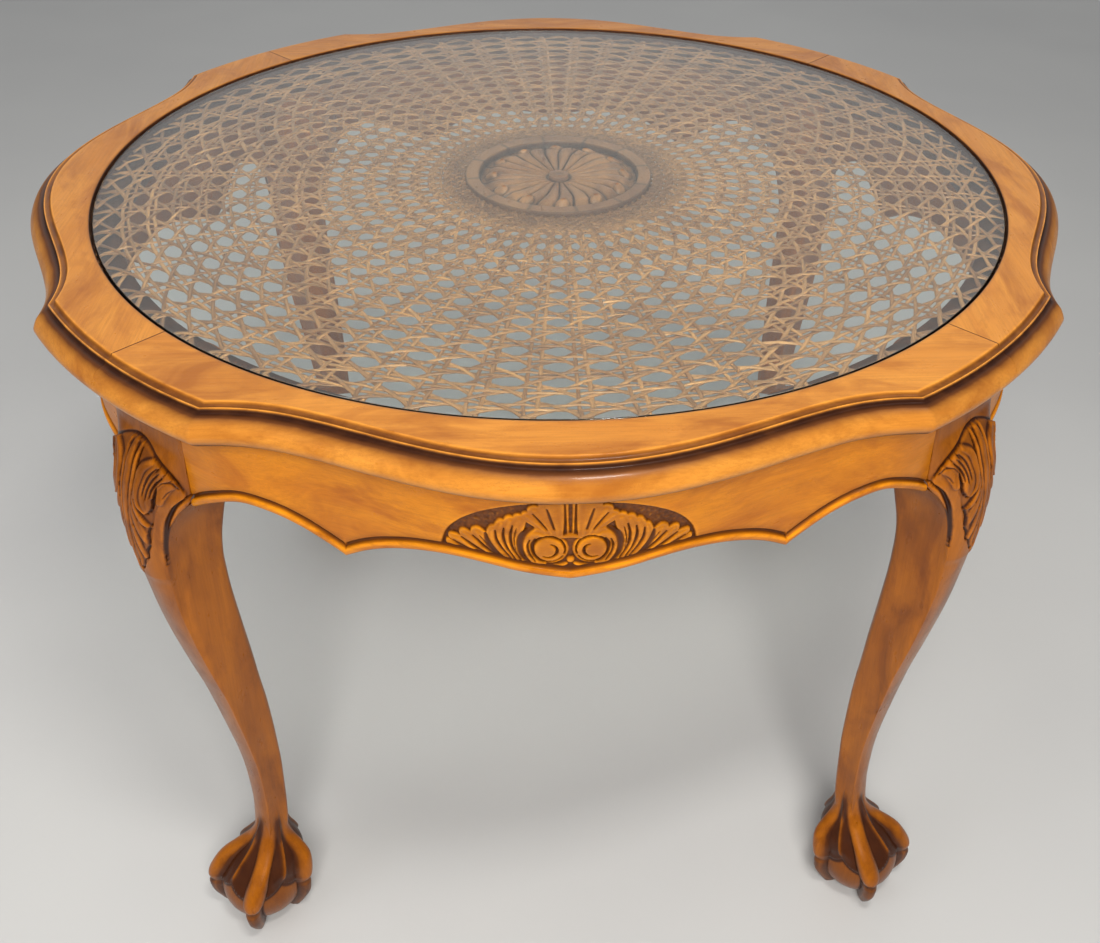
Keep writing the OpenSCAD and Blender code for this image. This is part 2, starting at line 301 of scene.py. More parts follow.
# Apron carving. x from the middle of the side, z below the top face. Every stroke is (x, z, half width).
CARVING_DROP = 4.9
ARCH_X, ARCH_Z, ARCH_H = 72.5, -74, 40
WALL_STEEPNESS, SUNK_DEPTH, PUNCH_DEPTH = 50, 2.3, 0.8
FAN = [  # rays of the fan: lower end, upper end
    ((6.7, -57, 1.7), (8.6, -48, 3.6), (10.6, -37.5, 5.4)),
    ((10.4, -56, 1.0), (14.5, -49, 1.9), (19.6, -41, 2.7)),
    ((13.5, -55, 0.9), (18, -50, 1.6), (23.6, -45, 2.2)),
]
FAN_CUTS = [
    ((9.0, -53, 0.5), (11, -46, 0.6), (12.8, -39.5, 0.4)),
    ((12.8, -53.5, 0.3), (17, -47.5, 0.5), (20.5, -43, 0.3)),
]
VOLUTE = (12, -67.5)
FOLD = [(14, -58.3, 1.2), (18.6, -56.6, 2.7), (22.8, -59.5, 3), (24.3, -65, 2.8), (23.4, -71, 2.6),
        (20.5, -75.6, 2.2), (16, -78.4, 1.4)]
FOLD_CUTS = [
    ((19.4, -60.2, 0.3), (21.3, -64, 0.6), (20.9, -69.5, 0.6), (18, -74.5, 0.3)),
    ((22.4, -61, 0.3), (23.6, -65, 0.5), (22.6, -71, 0.5), (19.6, -76, 0.3)),
    ((20.5, -53, 0.5), (25.6, -57, 1.3), (28.0, -64, 1.5), (26.8, -72, 1.3), (22, -78, 0.6)),
]
LEAF = [
    ((24.5, -78.5, 1), (29.8, -70, 2), (31, -60, 2.5), (29.4, -51, 3.2), (28, -47.6, 2.6)),
    ((27, -78.5, 1), (33.2, -70, 1.7), (35, -61, 2.1), (34.4, -53, 2.6), (33, -49, 2.2)),
    ((29, -78.5, 0.9), (36.6, -70, 1.6), (39.2, -62, 2), (39.3, -55.5, 2.3), (37.8, -51.4, 1.8)),
    ((31, -78, 0.8), (39.6, -70.5, 1.4), (42.8, -64, 1.8), (43.4, -58.8, 1.8), (42.6, -55.6, 1.3)),
]
LEAF_CUTS = [
    ((27.5, -75.5, 0.3), (31.8, -68, 0.6), (33, -59, 0.6), (31.6, -52, 0.3)),
    ((30.5, -75.5, 0.3), (35, -68, 0.6), (37, -60, 0.6), (36.6, -54.5, 0.3)),
    ((33, -75, 0.3), (38, -68.5, 0.6), (41, -62, 0.6), (41.3, -57, 0.3)),
    ((30, -71.5, 0.2), (31, -62, 0.35), (29.6, -53.5, 0.2)),
    ((33, -79, 0.5), (41.6, -72.4, 1.4), (45.6, -66, 1.3), (46.8, -60, 0.6)),
]
OUTER = [
    ((39, -76, 1.2), (45, -69, 2.6), (49.6, -62.6, 3.2), (51.6, -60, 2.4)),
    ((41, -76.4, 1), (50, -69.6, 2.2), (56.6, -64.2, 2.6), (59, -62, 1.7)),
    ((43, -77, 1), (54, -72, 2), (62, -67.6, 2.1), (66, -66, 1.2)),
    ((45, -78, 0.8), (56, -75, 1.5), (64, -72, 1.5), (68, -70.4, 0.8)),
]
OUTER_CUTS = [
    ((42, -74.5, 0.3), (49, -68, 0.7), (54, -63, 0.4)),
    ((44, -75.5, 0.3), (53.5, -70.4, 0.7), (60.5, -65.6, 0.4)),
    ((46, -76.6, 0.3), (57, -73, 0.7), (65.5, -69, 0.4)),
    ((43, -71.5, 0.2), (47, -66.5, 0.4), (50, -62, 0.2)),
]


def arc(centre, radius, start, end, width, count=9, end_radius=None):
    """Stroke points along part of a circle or spiral, thin at both ends."""
    points = []
    for i in range(count):
        f = i / (count - 1)
        g = math.radians(start + (end - start) * f)
        r = radius + ((end_radius or radius) - radius) * f
        w = width * (0.45 + 0.55 * math.sin(math.pi * f))
        points.append((centre[0] + r * math.cos(g), centre[1] + r * math.sin(g), w))
    return points


def carve_apron():
    """Shell of upright rays between two volutes and acanthus leaves, in a punched sunk ground."""
    relief = Relief(-84, 84, -104, -24)
    relief.z += CARVING_DROP
    for rays, height in ((FAN, 2.5), (LEAF, 2.6), (OUTER, 2.4), ([FOLD], 2.9)):
        for path in rays:
            relief.both(relief.mass, path, height)
            relief.both(relief.ridge, path, height)
    for x in (-1.4, 1.4):
        relief.ridge([(x, -56.5, 0.7), (x * 1.2, -46, 0.8), (x * 1.4, -36, 0.9)], 1.7)
    relief.both(relief.ridge, [(VOLUTE[0] - 0.6, VOLUTE[1], 10.4), (VOLUTE[0], VOLUTE[1] - 0.3, 10.2)], 2.9)
    relief.both(relief.ridge, [(5, -80.6, 1.2), (14, -80.6, 2), (24, -79.8, 1.6)], 1.9)
    relief.ridge([(-4, -58.6, 1.2), (0, -57.8, 1.8), (4, -58.6, 1.2)], 2.2)
    relief.ridge([(-0.2, -75, 2.2), (0.2, -75, 2.2)], 2.4)
    relief.both(relief.ridge, [(2.4, -78, 1), (6, -79.4, 1.4), (9, -79.6, 1)], 2.0)
    for cuts, depth in ((FAN_CUTS, 1.1), (FOLD_CUTS, 1.5), (LEAF_CUTS, 1.3), (OUTER_CUTS, 1.2)):
        for path in cuts:
            relief.both(relief.gouge, [(x, z, w * CUT_WIDTH) for x, z, w in path], depth)
    relief.both(relief.gouge, arc(VOLUTE, 4.0, 110, 300, 1.0, count=13, end_radius=5.8), 1.9)
    relief.both(relief.gouge, arc(VOLUTE, 9.0, 200, -150, 1.1, count=21), 2.0)
    inside = (1 - np.hypot(relief.x / ARCH_X, (relief.z - ARCH_Z) / ARCH_H)) * WALL_STEEPNESS
    sunk = clip01(inside)
    bare = clip01(1 - relief.raised / 0.9) * sunk
    ground = -SUNK_DEPTH * sunk + bare * PUNCH_DEPTH * punched_ground(relief, 11)
    for grid in (relief.raised, relief.cut, relief.ink):
        grid *= sunk
    relief.finish(ground, bare * (0.45 + 0.65 * punched_ground(relief, 12)))
    wall = clip01(1 - np.abs(inside - 0.6))
    relief.dark = np.max([relief.dark, 0.9 * wall, CARVED_TONE * sunk], axis=0)
    relief.z -= CARVING_DROP
    return relief


# Knee leaf. y across the leg, z up. Every stroke is (y, z, half width).
KNEE_GROOVE = [(36.4, 441, 0.7), (33, 437, 1.0), (30, 433, 1.2), (27, 427.5, 1.3), (24, 420.5, 1.3),
               (21.6, 412, 1.2), (19.8, 404, 1.0), (18.4, 396, 0.8), (17.4, 389, 0.5), (17, 384, 0.3)]
KNEE_RIDGES = [
    (((0, 470, 1.4), (0.4, 460, 2.5), (0.6, 445, 2.3), (0.3, 425, 1.8), (0, 405, 1.4), (0, 379, 0.7)), 2.6),
    (((5.4, 468, 1), (4.9, 456, 1.7), (4.6, 442, 1.6), (3.8, 425, 1.4), (2.6, 405, 1.1),
      (1.2, 384, 0.6)), 2.0),
    (((17.5, 461.5, 2), (12, 457, 3), (9.8, 449, 2.8), (9.2, 441, 2.2), (10.6, 433, 1.8),
      (14.5, 428, 1.4)), 3.0),
    (((21, 461, 2), (17, 455, 2.6), (14.5, 447, 2.6), (13.4, 439, 2.4), (15.4, 431, 2.2),
      (16.5, 428.4, 1.4)), 2.6),
    (((25, 458.5, 2), (20.6, 452, 2.4), (18.2, 445, 2.4), (17.3, 438, 2.2), (17.4, 431, 1.8)), 2.6),
    (((28.5, 455, 2.2), (24, 451, 2.2), (20.8, 446, 1.8), (19.6, 440, 1.2)), 2.2),
    (((31.5, 450, 1.8), (27, 448, 3.4), (24.4, 443, 3.4), (23.4, 437, 2.2)), 1.4),
    (((6.8, 440, 1), (7.6, 434, 1.6), (9.8, 426, 2), (13.6, 418.6, 1.6), (15.6, 416.8, 1)), 2.6),
    (((6, 430, 1), (6.6, 423, 1.6), (8.4, 414, 1.9), (11, 405.5, 1.6), (12.4, 402, 1)), 2.3),
    (((4.6, 414, 1), (5, 408, 1.4), (6, 400, 1.6), (7.6, 392.5, 1.2), (8.2, 390, 0.8)), 2.1),
    (((2.8, 398, 0.8), (3.2, 392, 1.2), (3.2, 386, 1), (2, 381, 0.7)), 1.7),
    (((9.5, 420, 1), (10.6, 413, 1.4), (12.2, 407, 1.2)), 1.6),
]
KNEE_CUTS = [
    (((21, 459, 0.4), (17.2, 453.5, 0.9), (15, 447, 0.8), (14, 440, 0.4)), 1.6),
    (((23, 456.6, 0.4), (19, 450.5, 0.9), (16.9, 444.5, 0.8), (16, 438, 0.4)), 1.6),
    (((25, 454, 0.4), (21.4, 449.2, 0.9), (19.4, 445, 0.8), (18.4, 440, 0.4)), 1.6),
    (((6.9, 466, 0.4), (6.7, 455, 0.7), (6.7, 446, 0.7), (6.4, 438, 0.5)), 1.3),
    (((21.8, 446.5, 0.5), (21, 441, 0.9), (20.4, 436, 0.9), (18.6, 430.6, 0.9), (15, 426.6, 0.8),
      (11.6, 429.6, 0.5)), 1.8),
    (((17.2, 419, 0.4), (15.2, 415.6, 0.8), (13.2, 410, 0.9), (12.6, 401.6, 0.8)), 1.6),
    (((12.4, 400.4, 0.8), (9.8, 396, 0.9), (8.9, 389.4, 0.7), (6.4, 387.4, 0.5), (3, 379, 0.7),
      (0, 376.4, 0.7)), 1.5),
    (((22, 447, 0.4), (25, 450.8, 0.6), (29.6, 450.8, 0.6), (32.4, 446.6, 0.5)), 1.1),
    (((25.4, 440.4, 0.3), (27, 443.6, 0.5), (29.6, 446.4, 0.3)), 0.7),
    (((8.4, 436, 0.3), (9.8, 430, 0.5), (13.4, 422, 0.3)), 0.9),
    (((2.7, 466, 0.5), (3.1, 452, 0.7), (2.9, 436, 0.7), (2.3, 418, 0.6), (1.6, 396, 0.4)), 1.2),
]
KNEE_TOP = [(0, 469.6), (5, 469.2), (10, 467.8), (15, 465.8), (20, 463), (25, 459.4), (28.5, 456),
            (31.5, 451.6), (33.6, 446.6), (35.5, 441)]


def carve_knee():
    """Acanthus leaf on the knee, with a scroll groove along each edge of the outward face."""
    relief = Relief(-42, 42, 368, 484)
    for path, height in KNEE_RIDGES:
        relief.both(relief.ridge, path, height * 0.8)
    for path, depth in KNEE_CUTS:
        relief.both(relief.gouge, path, depth * 0.9)
    relief.both(relief.gouge, KNEE_GROOVE, 2.6)
    side = np.abs(relief.x)
    border = np.interp(side, *np.array(KNEE_TOP).T)
    rise = clip01((border - relief.z) / 1.2)
    lower = np.interp(relief.z, [376, 388, 402, 417, 428, 437], [0, 8.6, 12.8, 16.6, 19.5, 24])
    leaf = rise * clip01(lower - side + 1)
    relief.raised *= clip01(rise * 1.5)
    ground = -0.7 * leaf * (side < 22) + 1.3 * rise
    edge_line = clip01(1 - np.abs(relief.z - border - 0.6) / 1.1) * (side < 34.5)
    relief.cut = np.maximum(relief.cut, edge_line)
    relief.finish(ground, np.maximum(0.85 * edge_line, CARVED_TONE * leaf))
    return relief


# ---- materials
def srgb(r, g, b):
    """Linear colour from 0-255 display values."""
    out = []
    for v in (r, g, b):
        v /= 255
        out.append(v / 12.92 if v <= 0.04045 else ((v + 0.055) / 1.055) ** 2.4)
    return (*out, 1)


def shaded(colour, by):
    """A colour multiplied by one number, or by one for each channel."""
    return (*clip01(np.array(colour[:3]) * by), 1)


class Nodes:
    """A short way to build a material's node tree. A socket takes a number, a colour or an output."""

    def __init__(self, name):
        self.material = bpy.data.materials.new(name)
        self.material.use_nodes = True
        self.tree = self.material.node_tree
        self.shader = self.tree.nodes["Principled BSDF"]

    def put(self, socket, value):
        if isinstance(value, bpy.types.NodeSocket):
            self.tree.links.new(value, socket)
        else:
            socket.default_value = value

    def surface(self, name, value):
        self.put(self.shader.inputs[name], value)

    def add(self, kind, output, inputs=None, **settings):
        """One output of a new node."""
        node = self.tree.nodes.new("ShaderNode" + kind)
        for key, value in settings.items():
            setattr(node, key, value)
        for key, value in (inputs or {}).items():
            self.put(node.inputs[key], value)
        return node.outputs[output]

    def field(self, name, output="Fac"):
        return self.add("Attribute", output, attribute_name=name)

    def stretched(self, source, scale):
        return self.add("Mapping", "Vector", {"Vector": source, "Scale": scale})

    def noise(self, vector, stretch=(1, 1, 1), scale=1.0, detail=3.0, rough=0.55, warp=0.0):
        return self.add("TexNoise", "Fac", {
            "Vector": self.stretched(vector, stretch), "Scale": scale, "Detail": detail,
            "Roughness": rough, "Distortion": warp})

    def range(self, value, a, b, c=0.0, d=1.0):
        return self.add("MapRange", "Result", {
            "Value": value, "From Min": a, "From Max": b, "To Min": c, "To Max": d})

    def math(self, operation, a, b=0.0, clamp=False):
        return self.add("Math", "Value", {0: a, 1: b}, operation=operation, use_clamp=clamp)

    def mix(self, factor, a, b):
        return self.add("Mix", "Result", {"Factor": factor, "A": a, "B": b}, data_type="RGBA")

    def bump(self, height, strength, distance):
        inputs = {"Height": height, "Strength": strength, "Distance": distance}
        self.surface("Normal", self.add("Bump", "Normal", inputs))


def beech(name, light, mid, stain_and_shade):
    """Lacquered beech: long grain, short dark flecks, stain in the hollows together with painted shade, and
    pale edges that are partly worn and partly a painted highlight.
    """
    m = Nodes(name)
    grain = m.field("grain", "Vector")
    broad = m.noise(grain, (0.006, 0.05, 0.05), detail=2, warp=0.6)
    lines = m.noise(grain, (0.02, 0.75, 0.75), detail=4, rough=0.65)
    colour = m.mix(m.range(broad, 0.3, 0.7, 0.1, 0.7), light, mid)
    colour = m.mix(m.range(lines, 0.42, 0.75, 0, 0.4), colour, shaded(mid, 0.62))
    aged = m.noise(grain, (0.014, 0.035, 0.035), detail=4, rough=0.65, warp=0.8)
    colour = m.mix(m.range(aged, 0.44, 0.7, 0, 0.75), colour, shaded(mid, (0.6, 0.5, 0.5)))
    cells = m.add("TexVoronoi", "Distance", {"Vector": m.stretched(grain, (0.2, 0.85, 0.85))}, feature="F1")
    chosen = m.range(m.noise(grain, (0.05, 0.22, 0.22), detail=1), 0.36, 0.56)
    fleck = m.math("MULTIPLY", m.range(cells, 0.14, 0.34, 1, 0), chosen, clamp=True)
    colour = m.mix(m.math("MULTIPLY", fleck, 0.8), colour, shaded(mid, 0.45))
    uneven = m.noise(grain, (0.05, 0.12, 0.12), detail=4, rough=0.6)
    # The dark field holds stain and painted shade; both are mixed towards the stain colour.
    dark = m.math("MULTIPLY", m.field("dark"), m.range(uneven, 0.25, 0.7, 1.12, 0.84), clamp=True)
    half_stain_and_shade = tuple((a * b) ** 0.5 for a, b in zip(mid[:3], stain_and_shade[:3])) + (1,)
    colour = m.mix(m.range(dark, 0.0, 0.55), colour, half_stain_and_shade)
    colour = m.mix(m.range(dark, 0.45, 1.0), colour, stain_and_shade)
    # Paler edges and crests: partly wear, partly a painted highlight.
    wear_and_highlight_mask = m.math("MULTIPLY", m.field("glow"), m.range(uneven, 0.35, 0.6), clamp=True)
    colour = m.mix(m.math("MULTIPLY", wear_and_highlight_mask, 0.75), colour, shaded(light, 1.35))
    m.surface("Base Color", colour)
    gloss = m.range(uneven, 0.3, 0.75, 0.26, 0.42)
    m.surface("Roughness", m.math("ADD", gloss, m.math("MULTIPLY", dark, 0.16)))
    m.surface("Specular IOR Level", 0.26)
    m.surface("Coat Weight", 0.18)
    m.surface("Coat Roughness", 0.1)
    m.bump(m.math("SUBTRACT", lines, m.math("MULTIPLY", fleck, 1.2)), 0.25, 0.0002)
    return m.material


def cane_skin(name):
    """Split cane: honey tan, each strand its own shade, with fine lengthwise fibres and glossy skin."""
    m = Nodes(name)
    along = m.field("grain", "Vector")
    fibre = m.noise(along, (0.05, 4.0, 4.0), detail=3)
    patch = m.noise(along, (0.02, 0.1, 0.1), detail=2)
    colour = m.mix(m.range(m.field("strand"), 0, 1), srgb(180, 128, 78), srgb(108, 64, 32))
    colour = m.mix(m.range(patch, 0.35, 0.65, 0, 0.8), colour, srgb(92, 52, 26))
    colour = m.mix(m.range(fibre, 0.4, 0.7, 0, 0.4), colour, srgb(200, 156, 106))
    # The dark field darkens the strands: painted shade by the rim's rebate wall, and darker towards the
    # rosette.
    m.surface("Base Color", m.mix(m.field("dark"), colour, srgb(70, 40, 20)))
    m.surface("Roughness", m.range(fibre, 0.3, 0.7, 0.34, 0.5))
    m.surface("Coat Weight", 0.15)
    m.bump(fibre, 0.2, 0.0001)
    return m.material


def clear_glass(name):
    """Clear float glass with a faint green body, which lets lamps through."""
    m = Nodes(name)
    smear = m.noise(m.add("TexCoord", "Object"), (3, 5, 5), scale=2, detail=4)
    m.surface("Roughness", m.range(smear, 0.4, 0.8, 0.0, 0.035))
    m.surface("Base Color", (0.93, 0.985, 0.955, 1))
    m.surface("Transmission Weight", 1.0)
    m.surface("IOR", 1.5)
    clear = m.add("BsdfTransparent", "BSDF", {"Color": (0.86, 0.9, 0.88, 1)})
    shadow = m.add("LightPath", "Is Shadow Ray")
    choose = m.add("MixShader", "Shader", {0: shadow, 1: m.shader.outputs[0], 2: clear})
    m.put(m.tree.nodes["Material Output"].inputs["Surface"], choose)
    return m.material


def pale_floor(name):
    m = Nodes(name)
    shade = m.noise(m.add("TexCoord", "Object"), scale=1.5, detail=3)
    m.surface("Base Color", m.mix(m.range(shade, 0.3, 0.7), srgb(206, 206, 204), srgb(198, 198, 197)))
    m.surface("Roughness", 0.6)
    return m.material


def dowel_wood(name):
    m = Nodes(name)
    lines = m.noise(m.add("TexCoord", "Object"), (90, 90, 900), detail=3)
    m.surface("Base Color", m.mix(m.range(lines, 0.35, 0.7), srgb(214, 176, 122), srgb(176, 130, 80)))
    m.surface("Roughness", m.range(lines, 0.3, 0.7, 0.5, 0.7))
    m.bump(lines, 0.3, 0.0002)
    return m.material


# ---- rim
# Moulding profile: (fraction of its width, depth, stain and painted shade). The stain is in the cove and the
# groove; painted shade darkens the moulding's underside.
MOULDING = [(0, 0, 0), (0.022, -0.12, 0), (0.038, -0.7, 0.15), (0.055, -1.6, 0.45), (0.1, -2.3, 0.5),
            (0.16, -2.5, 0.5), (0.22, -2.25, 0.4), (0.268, -1.75, 0.15), (0.295, -1.65, 0),
            (0.313, -2.1, 0.3), (0.322, -3.3, 0.95), (0.335, -4.4, 1), (0.37, -4.95, 1), (0.42, -5.15, 0.95),
            (0.5, -5.35, 0.72), (0.6, -5.85, 0.5), (0.7, -6.9, 0.3), (0.8, -8.5, 0.12), (0.88, -10.6, 0.02),
            (0.95, -13, 0), (0.99, -14.8, 0), (1, -16, 0), (0.985, -17.8, 0.02), (0.93, -19.5, 0.12),
            (0.83, -21.2, 0.5), (0.68, -23.2, 0.85), (0.5, -25, 0.95), (0.3, -26.6, 0.8), (0.12, -28, 0.85)]
PROFILE_DEPTH = 28
MOULDING_POINTS, RIM_COLUMNS, FLAT_COLUMNS = 104, 171, 6
JOINT_LINE = 0.07  # degrees, the dark line where two rim pieces meet


def rim_side(name, degrees, material, seed):
    """A quarter of the rim: flat face, rebates for the glass and the cane, and the scalloped moulding."""
    half = 45 - math.degrees(JOINT_GAP / EAR_R)
    ear = 45 - EAR_ANGLE
    line = half - JOINT_LINE
    fine = np.linspace(ear - 3, ear + 1, 17)
    angles = np.unique(np.round(np.concatenate(
        [np.linspace(-half, half, RIM_COLUMNS), fine, -fine, [ear, -ear, line, -line]]), 4))
    outer = path_points(MOULDING, count=MOULDING_POINTS, x_weight=20)
    t = 45 - np.abs(angles)
    edge, width = edge_radius(t)[:, None], moulding_width(t)[:, None]
    bed = CANE_Z - 1.2
    # Radius, height and painted shade, from the bore's lower edge up to the flat face: the bore, the ledges
    # and the rebate walls are darkened as if in shadow.
    inner = np.array([(BORE_R, RIM_BOTTOM + 0.6, 0.6), (BORE_R, bed - 0.6, 0.9), (BORE_R + 0.6, bed, 0.95),
                      (OPEN_R - 8, bed, 1), (OPEN_R - 0.4, bed, 1), (OPEN_R, bed + 0.4, 1),
                      (OPEN_R, glass_lo[2], 1), (OPEN_R, TOP - 1.0, 0.95),
                      (OPEN_R + 0.25, TOP - 0.3, 0.4), (OPEN_R + 0.9, TOP, 0.08), (OPEN_R + 2.5, TOP, 0.0)])
    r_in = np.repeat(inner[None, :, 0], len(angles), 0)
    flat = OPEN_R + 2.5 + (edge - OPEN_R - 2.5) * np.linspace(0.2, 0.95, FLAT_COLUMNS)[None]
    radius = np.concatenate([r_in, flat, edge + outer[None, :, 0] * width], 1)
    fall = outer[:, 1] * (TOP - RIM_BOTTOM) / PROFILE_DEPTH
    levels = np.concatenate([inner[:, 1], np.full(FLAT_COLUMNS, TOP), TOP + fall])
    # Painted shade on the bore, ledges and rebate walls; stain and painted shade along the moulding.
    shade = np.concatenate([inner[:, 2], np.zeros(FLAT_COLUMNS), outer[:, 2]])
    points, quads, caps = loft(around(radius, np.radians(angles)[:, None], levels))
    grain = np.stack([points[:, 1] + 700 * seed, points[:, 0], points[:, 2] + 90 * seed], 1)
    on_top = np.arange(radius.shape[1]) < len(inner) + FLAT_COLUMNS + 4
    at_joint = 0.9 * (np.abs(angles) > half - JOINT_LINE / 2)[:, None] * on_top[None]
    dark = np.maximum(np.broadcast_to(clip01(shade), radius.shape), at_joint).ravel()
    # Painted highlight, partly wear, along the bead's arris and the flat face's edge.
    bead = bell(outer[:, 0] - 0.292, 0.02) * (outer[:, 1] > -3) + 0.6 * bell(outer[:, 0], 0.02)
    crest_highlight_and_wear = np.concatenate([np.zeros(len(inner) + FLAT_COLUMNS), bead])
    glow = np.broadcast_to(crest_highlight_and_wear, radius.shape).ravel()
    return make_piece(name, turned(points, degrees), quads, caps, material,
                      sharp=48, grain=grain, dark=dark, glow=glow)


# ---- aprons
BEAD, BEAD_GROOVE = 5.2, 2.4
FRONT_ROWS = 150
CARVING_REACH = 78


def apron_side(name, degrees, relief, material, seed):
    """A curved apron: arched lower edge with a bead, and the carved shell in its middle."""
    end_t = math.degrees(math.asin((POST_HALF + JOINT_GAP) / (EAR_R - APRON_INSET)))
    end = 45 - end_t
    reach = math.degrees(CARVING_REACH / (MID_R - APRON_INSET))
    cusp = 45 - CUSP_ANGLE
    outside = np.linspace(reach, end, 66)
    angles = np.unique(np.round(np.concatenate(
        [np.linspace(-reach, reach, 320), outside, -outside, [cusp, -cusp]]), 4))
    t = 45 - np.abs(angles)
    face = np.mean([edge_radius(t + d) for d in np.linspace(-3.5, 3.5, 15)], axis=0) - APRON_INSET
    low = TOP - apron_drop(t)
    across = np.radians(angles) * face
    slope = np.gradient(low, across)
    lean = 1 / np.sqrt(1 + np.minimum(np.abs(slope), 1.2) ** 2)
    high = RIM_BOTTOM - 0.05
    v = np.linspace(0, 1, FRONT_ROWS)[None]
    z = high + (low[:, None] - high) * v
    above = (z - low[:, None]) * lean[:, None]
    x = np.broadcast_to(across[:, None], z.shape)
    bead = 1.6 * np.sqrt(clip01(1 - ((above - BEAD / 2) / (BEAD / 2 + 0.25)) ** 2))
    groove = clip01(1 - ((above - BEAD - BEAD_GROOVE / 2) / (BEAD_GROOVE / 2 + 0.4)) ** 2)
    body = ease(above, BEAD + BEAD_GROOVE * 0.6, BEAD + BEAD_GROOVE + 0.6)
    carved, dark, glow = (v * body for v in relief.at(x, z - TOP))
    rise = carved + np.where(above < BEAD + 0.2, bead - 0.3, 0) - 1.6 * groove
    dark = clip01(dark + groove * 0.95 + 0.25 * ease(above, BEAD + 7, BEAD + 2) * body
                  + 0.35 * ease(above, 0.9, 0))
    # Painted highlight, partly wear, along the top of the bead.
    glow = clip01(glow + ease(above, 2.2, 3.4) * ease(above, BEAD, BEAD - 1))
    front = face[:, None] + rise
    inset_back = [(-2.2, 0.0), (-APRON_THICK / 2, -0.3), (-APRON_THICK + 1.6, 0.0), (-APRON_THICK, 1.6)]
    r_back = np.stack([face + dx for dx, _ in inset_back], 1)
    z_back = np.stack([low + dz for _, dz in inset_back], 1)
    r_top = np.stack([face - APRON_THICK, face - APRON_THICK, face - APRON_THICK / 2], 1)
    z_top = np.stack([(low + high) / 2, np.full_like(low, high), np.full_like(low, high)], 1)
    radius = np.concatenate([front, r_back, r_top], 1)
    height = np.concatenate([z, z_back, z_top], 1)
    at_end = ease(np.abs(angles), end - 5, end)[:, None]
    swing = np.degrees(np.arcsin(POST_HALF / radius) - np.arcsin(POST_HALF / face[:, None])) * at_end
    a = np.radians(angles[:, None] - np.sign(angles)[:, None] * swing)
    points, quads, caps = loft(around(radius, a, height))
    extra = radius.shape[1] - FRONT_ROWS
    # Painted shade on the apron's back and top faces.
    dark = np.concatenate([dark, np.full((len(angles), extra), 0.45)], 1).ravel()
    glow = np.concatenate([glow, np.zeros((len(angles), extra))], 1).ravel()
    along = (np.radians(angles)[:, None] * radius).ravel()
    grain = np.stack([along + 500 * seed, points[:, 2], radius.ravel() + 60 * seed], 1)
    return make_piece(name, turned(points, degrees), quads, caps, material,
                      sharp=55, grain=grain, dark=dark, glow=glow)


# ---- legs
# Sections of the leg: height, outer radius in the middle, outer radius at the edge, inner radius,
# half width of the outward face, half width of the inner face.
LEG = np.array([
    (92, 332.5, 331, 313, 9.7, 9.7), (106, 332, 330, 312, 9.5, 9.5), (125, 332, 330, 311.5, 9.9, 9.9),
    (150, 333.2, 331.2, 311, 10.5, 10.4), (173, 336, 334, 311.8, 11.4, 11.3),
    (196, 339.7, 337.7, 313, 12.7, 12.4), (220, 343.9, 341.9, 314.8, 13.7, 13.4),
    (243, 348.5, 346, 317.5, 14.6, 14.4), (265, 353.7, 351.2, 319.8, 15.6, 15.4),
    (287, 358.7, 356.2, 322.2, 16.3, 16), (308, 363.4, 360.4, 324.4, 16.7, 16.4),
    (328, 367.2, 363.7, 326.2, 16.9, 16.6), (348, 370.2, 366.2, 327.5, 16.8, 16.6),
    (366, 373, 367.3, 327.8, 16.9, 16.6), (385, 375, 366.9, 326, 17.4, 17),
    (400, 376, 366.5, 323, 19.2, 18), (415, 376, 364, 320, 23.3, 20), (428, 375, 359.5, 317, 30, 24),
    (437, 373.3, 355, 315.5, 36.6, 27.5), (443, 371.8, 353.2, 314.8, 37, 29.5),
    (450, 369.2, 353, 314.4, 37, 31),
    (458, 366, 353, 314, 37, 31.5), (465, 361.8, 353, 314, 37, 32), (470, 357.8, 353, 314, 37, 32),
    (474, 356.6, 353, 314, 37, 32), (502, 356.6, 353, 314, 37, 32)])
# Claws: height, reach of the claw out from the hub, half width, hub inside the foot.
CLAW = np.array([
    (0, 27.5, 3.4, 0), (5, 31, 4.6, 0), (13, 36, 5.7, 0), (21, 40, 6.4, 0), (31, 41.6, 7, 0),
    (36, 42, 8, 0.6), (41, 42.2, 9.4, 1.5), (49, 40.2, 10.2, 4.5), (57, 35.6, 8.8, 8), (64, 26.6, 7.5, 11),
    (70, 18.6, 6.5, 12.8), (76, 14.4, 5.6, 14), (88, 11.4, 4.5, 16), (104, 10, 3.3, 17), (112, 9.6, 3, 17.5)])
CLAW_ANGLES = (-122, -42, 42, 122)
FACE_COLUMNS, REST_COLUMNS = 184, 112
FACE_REACH = 60
CORE_END = 66
FOOT_TOP, LEG_START = 112, 92


def leg_value(z, column):
    return smooth(z, LEG[:, (0, column)])


def leg_section(z):
    """Outline of the leg at one height: domed outward face, rounded corners, hollow sides."""
    ro, re, ri, wo, wi = (float(leg_value(z, k)) for k in range(1, 6))
    c = min(4.0, wo * 0.3)
    u = np.linspace(-1, 1, 61)
    face = np.stack([re + (ro - re) * (1 - np.abs(u) ** 2.2), u * wo], 1)
    hollow = 2.5 if wo > 30 else 0.6
    f = np.linspace(0.04, 1, 24)
    ys = wo + (wi - wo) * f - hollow * np.sin(np.pi * f)
    side = np.stack([re + (ri + c - re) * f, ys], 1)
    g = np.linspace(0, np.pi / 2, 8)[1:]
    corner = np.stack([ri + c - c * np.sin(g), side[-1, 1] - c + c * np.cos(g)], 1)
    half = np.concatenate([side, corner])
    return np.concatenate([face, half, half[::-1] * (1, -1)])


